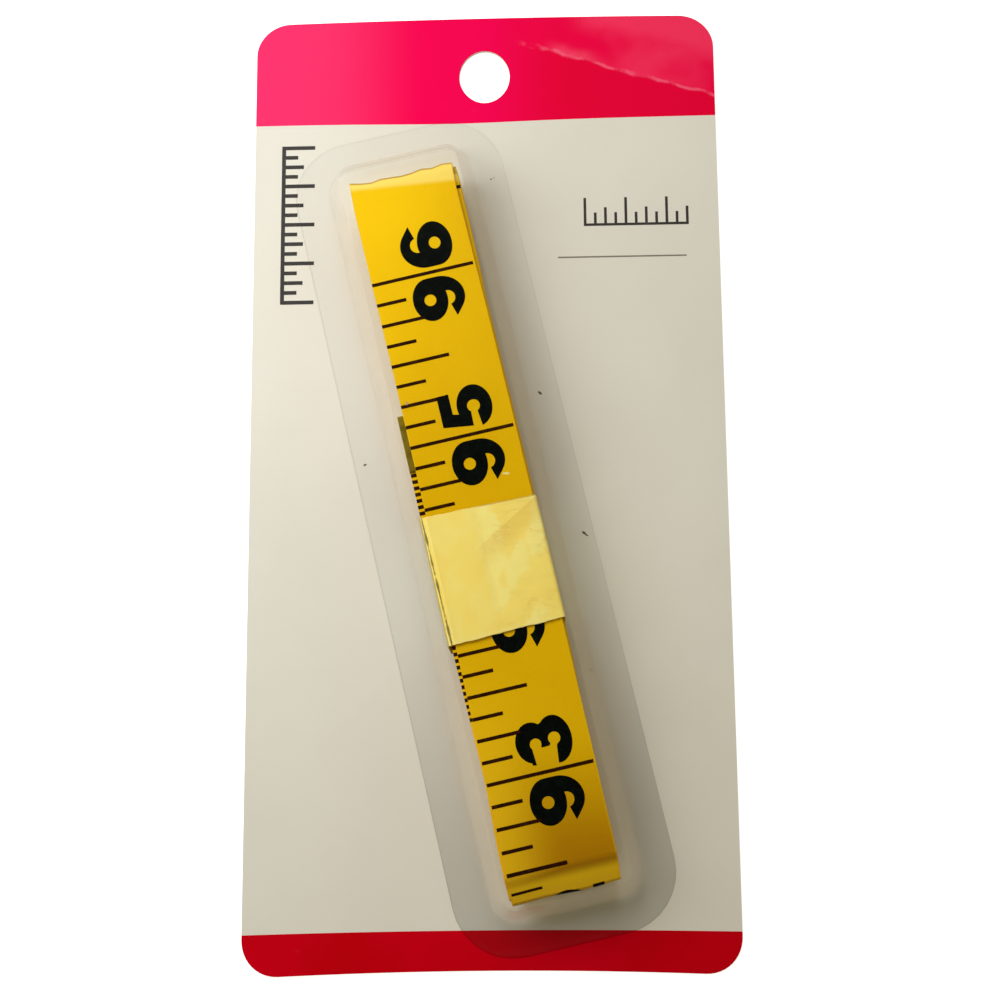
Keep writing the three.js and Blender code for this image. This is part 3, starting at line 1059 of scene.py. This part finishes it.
def makeCardPrint():
    bm = bmesh.new()
    addScale(bm, cardPrint["uprightScale"], True)
    addScale(bm, cardPrint["levelScale"], False)
    dark = len(bm.faces)
    addBlock(bm, *cardPrint["rule"])
    bm.faces.ensure_lookup_table()
    for face in bm.faces[dark:]:
        face.material_index = 1
    for vert in bm.verts:
        vert.co = (vert.co.x * mm, vert.co.y * mm, (cardTop + cardPrint["lift"]) * mm)
    wear = cardPrint["wear"]
    inks = [makeInk("cardDarkInk", (0.012, 0.009, 0.01), (0.04, 0.034, 0.034), wear, 0.5, 0.45, 0.35),
            makeInk("cardGreyInk", (0.19, 0.175, 0.15), (0.3, 0.28, 0.24), wear, 0.5, 0.45, 0.35)]
    return makePiece("cardScales", bm, inks, "card", smooth=False)


cardScales = makeCardPrint()

# Bits of dirt caught between the seal and the board: (x, y, length, width, turn in degrees)
dirtBits = {
    "bits": ((-18.65, 1.53, 0.5, 0.3, 20), (8.12, 12.39, 0.75, 0.4, -45), (14.45, -9.45, 0.75, 0.36, -38),
             (14.85, -9.8, 0.5, 0.26, -25), (0.9, 47.1, 0.3, 0.24, 0), (1.35, 47.3, 0.2, 0.16, 30),
             (15.1, -30.15, 0.35, 0.26, 60)),
    "lift": 0.012,
}


def makeDirt():
    grime = makeInk("dirt", (0.06, 0.05, 0.035), (0.2, 0.17, 0.12), (2500, 4), 1, 0.8, 0.1)
    bm = bmesh.new()
    height = cardTop + dirtBits["lift"]
    for x, y, length, width, degrees in dirtBits["bits"]:
        for vert in addPatch(bm, x, y, height, degrees, (length, width), 9):
            vert.co += noise.noise_vector(vert.co * 7.3) * 0.1 * width
            vert.co.z = height
    bmesh.ops.scale(bm, vec=(mm, mm, mm), verts=bm.verts)
    return makePiece("cardDirt", bm, [grime], "card", smooth=False)


cardDirt = makeDirt()
print("scene: card cut and printed")

# The blister: a tub over the hank and a flat seal round it, formed from one clear film
clearFilm = {
    "film": 0.3,
    "lift": 0.02,
    "half": 9.2,
    "topEnd": 57.5,
    "bottomEnd": -55.5,
    "corner": 1.7,
    "topRound": 0.7,
    "draft": 1.8,
    "footRound": 1.3,
    "topSlope": 1.45,
    "seal": (-16.9, 16.2, -62.5, 65.3),
    "sealCorner": 9,
    "thinEdge": 0.35,
    "cornerSteps": 8,
    "roundSteps": 5,
    "cut": 4,
    "wave": 0.05,
    "facingAlpha": 0.0004,
    "grazingAlpha": 0.42,
    "grazingPower": 2.2,
}


def makeFilm():
    finish = Finish("clearFilm", Roughness=0.1, Specular_IOR_Level=0.35, Coat_Roughness=0.05)
    # The film's warm grey is partly its own tint and partly a painted reflection of the yellow tape in its
    # walls
    finish.paint(finish.mix(finish.patches(90, 4, 0.3, 0.75), (0.82, 0.765, 0.66), (0.78, 0.715, 0.61)))
    dust = finish.flecks(170, 0.045, 0.06)
    finish.tint(dust, 1, (0.35, 0.3, 0.24))
    # The seal, stuck down on the board, is tinted darker than the tub's drawn film, and the tint grows
    # towards its lower end as painted shade
    _, v, z = finish.onHank()
    sealed = finish.ramp(z, 0.9, 2.2, 1, 0)
    finish.tint(sealed, 1, (0.015, 0.006, 0.0))
    finish.link(finish.spread(sealed, 0, 1, 0.7, 0), "Coat Weight")
    facing = finish.add("LayerWeight", {})["Facing"]
    slanted = finish.calc("POWER", facing, clearFilm["grazingPower"])
    slanted = finish.times(slanted, finish.spread(sealed, 0, 1, clearFilm["grazingAlpha"], 0.1))
    sealTintAndShade = finish.plus(finish.ramp(v, -60, -6, 0.072, 0), finish.ramp(v, 0, 50, 0.02, 0.008))
    alpha = finish.plus(slanted, finish.plus(finish.times(sealed, sealTintAndShade), clearFilm["facingAlpha"]))
    finish.link(finish.most(alpha, finish.times(dust, 0.55)), "Alpha")
    finish.bump(finish.patches(110, 2, 0.2, 0.8, (1.5, 0.8, 1)), 0.08, 0.25)
    return finish.material


# Points round a rectangle with round corners
def roundedOutline(left, right, bottom, top, corner):
    points = []
    for turn, x, y in ((0, right, top), (90, left, top), (180, left, bottom), (270, right, bottom)):
        middleX = x - math.copysign(corner, x - (left + right) / 2)
        middleY = y - math.copysign(corner, y - (bottom + top) / 2)
        points += arc(middleX, middleY, corner, corner, turn, turn + 90, clearFilm["cornerSteps"])
    return points


# The tub's section from its ceiling outward and down: (distance out from the wall's top, height)
def tubSection(floor, ceiling):
    film = clearFilm
    steps = film["roundSteps"]
    turns = [math.pi / 2 * step / steps for step in range(steps + 1)]
    top, foot = film["topRound"], film["footRound"]
    shoulder = [(top * (math.sin(turn) - 1), ceiling - top * (1 - math.cos(turn))) for turn in turns]
    fillet = [(film["draft"] + foot * (1 - math.cos(turn)), floor + foot * (1 - math.sin(turn)))
              for turn in turns]
    return shoulder + fillet


def filmRings(floor, ceiling):
    film = clearFilm
    rings = []
    for out, height in tubSection(floor, ceiling):
        half = film["half"] + out
        top = film["topEnd"] + out * (film["topSlope"] if out > 0 else 1)
        outline = roundedOutline(-half, half, film["bottomEnd"] - out, top, film["corner"] + out)
        rings.append((outline, height))
    left, right, bottom, top = film["seal"]
    for inset in (film["thinEdge"], 0):
        outline = roundedOutline(left + inset, right - inset, bottom + inset, top - inset,
                                 film["sealCorner"] - inset)
        rings.append((outline, floor))
    return rings


def makeBlister():
    film = clearFilm
    floor = cardTop + film["lift"]
    ceiling = blisterHigh.z - film["film"]
    rings = filmRings(floor, ceiling)
    bm = bmesh.new()
    ring = bmesh.ops.create_circle(bm, cap_ends=True, segments=len(rings[0][0]), radius=1)["verts"]
    for number, (outline, height) in enumerate(rings):
        if number:
            edges = [edge for edge in bm.edges if edge.is_boundary]
            made = set(bmesh.ops.extrude_edge_only(bm, edges=edges)["geom"])
            ring = [next(edge.other_vert(vert) for edge in vert.link_edges if edge.other_vert(vert) in made)
                    for vert in ring]
        for vert, (u, v) in zip(ring, outline):
            vert.co = (u, v, height)
    cutEvery(bm, film["cut"], 0)
    cutEvery(bm, film["cut"], 1)
    bmesh.ops.recalc_face_normals(bm, faces=bm.faces[:])
    if sum((face.normal * face.calc_area()).z for face in bm.faces) < 0:
        bmesh.ops.reverse_faces(bm, faces=bm.faces[:])
    for vert in bm.verts:
        u, v, z = vert.co
        high = smoothRise(z, floor + 0.5, ceiling)
        z += film["wave"] * high * (noise.noise((u / 7, v / 11, 5.5)) - 0.5)
        vert.co = onHank(u, v, z)
    weights = bm.verts.layers.deform.verify()
    for vert in bm.verts:
        vert[weights][0] = 0.0 if vert.is_boundary else 1.0
    blister = makePiece("clearBlister", bm, [makeFilm()], "cover")
    blister.vertex_groups.new(name="fullThickness")
    wall = thicken(blister, "filmThickness", film["film"])
    wall.offset = 1
    wall.use_even_offset = True
    wall.use_rim = False
    wall.vertex_group = "fullThickness"
    edge = blister.modifiers.new("thinEdge", "WELD")
    edge.merge_threshold = 0.002 * mm
    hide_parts("blister")
    return blister


clearBlister = makeBlister()
print("scene: blister formed")

# Floor, light and surroundings
studio = {
    "floorSize": 3.0,
    "floorDrop": 0.02,
    "floorGlow": 0.8,
    "worldFill": 0.25,
    "fillTint": (1.0, 0.84, 0.42),
    "mirrored": 0.2,
    "lamps": {
        "topLamp": {"place": (-0.06, 0.3, 0.3), "size": 0.3, "watts": 0.78},
        "leftLamp": {"place": (-0.13, 0.045, 0.12), "size": 0.12, "watts": 0.19},
        "frontLamp": {"place": (-0.03, -0.3, 0.2), "size": 0.25, "watts": 0.11},
    },
    "aim": (-0.005, 0.02, 0),
}


# How plainly the surroundings show: in full to the camera and through clear film, in part in a mirror
def seenDirectly(shading):
    rays = shading.add("LightPath", {})
    mirrored = shading.times(rays["Is Glossy Ray"], studio["mirrored"])
    lighting = shading.calc("GREATER_THAN", rays["Diffuse Depth"], 0.5)
    seen = shading.times(shading.most(mirrored, rays["Is Transmission Ray"]), shading.minus(1, lighting))
    return shading.most(seen, rays["Is Camera Ray"])


def makeFloor():
    finish = Finish("paleFloor", Base_Color=(0.86, 0.86, 0.86), Roughness=0.9, Specular_IOR_Level=0.1,
                    Emission_Color=(0.94, 0.97, 1))
    finish.link(finish.times(seenDirectly(finish), studio["floorGlow"]), "Emission Strength")
    bm = bmesh.new()
    half = studio["floorSize"] / 2
    addBlock(bm, -half, half, -half, half)
    bmesh.ops.translate(bm, vec=(0, 0, (cardLow.z - studio["floorDrop"]) * mm), verts=bm.verts)
    floor = makeMesh("paleFloor", bm, [finish.material], smooth=False)


def addLamp(name, place, size, watts):
    light = bpy.data.lights.new(name, "AREA")
    light.shape = "SQUARE"
    light.size = size
    light.energy = watts
    lamp = addObject(name, light)
    lamp.location = place
    lamp.rotation_euler = (Vector(studio["aim"]) - Vector(place)).to_track_quat("-Z", "Y").to_euler()


def makeSurroundings():
    world = bpy.data.worlds.new("paleRoom")
    world.use_nodes = True
    room = Shading(world.node_tree)
    background = room.nodes["Background"].inputs
    seen = seenDirectly(room)
    fill = studio["worldFill"]
    room.feed(room.mix(seen, studio["fillTint"], (1, 1, 1)), background["Color"])
    room.feed(room.scaled(seen, 1 - fill, fill), background["Strength"])
    bpy.context.scene.world = world


makeFloor()
for lampName, lamp in studio["lamps"].items():
    addLamp(lampName, **lamp)
makeSurroundings()
bpy.context.scene.view_settings.view_transform = "Standard"
print("scene: floor and lamps set")
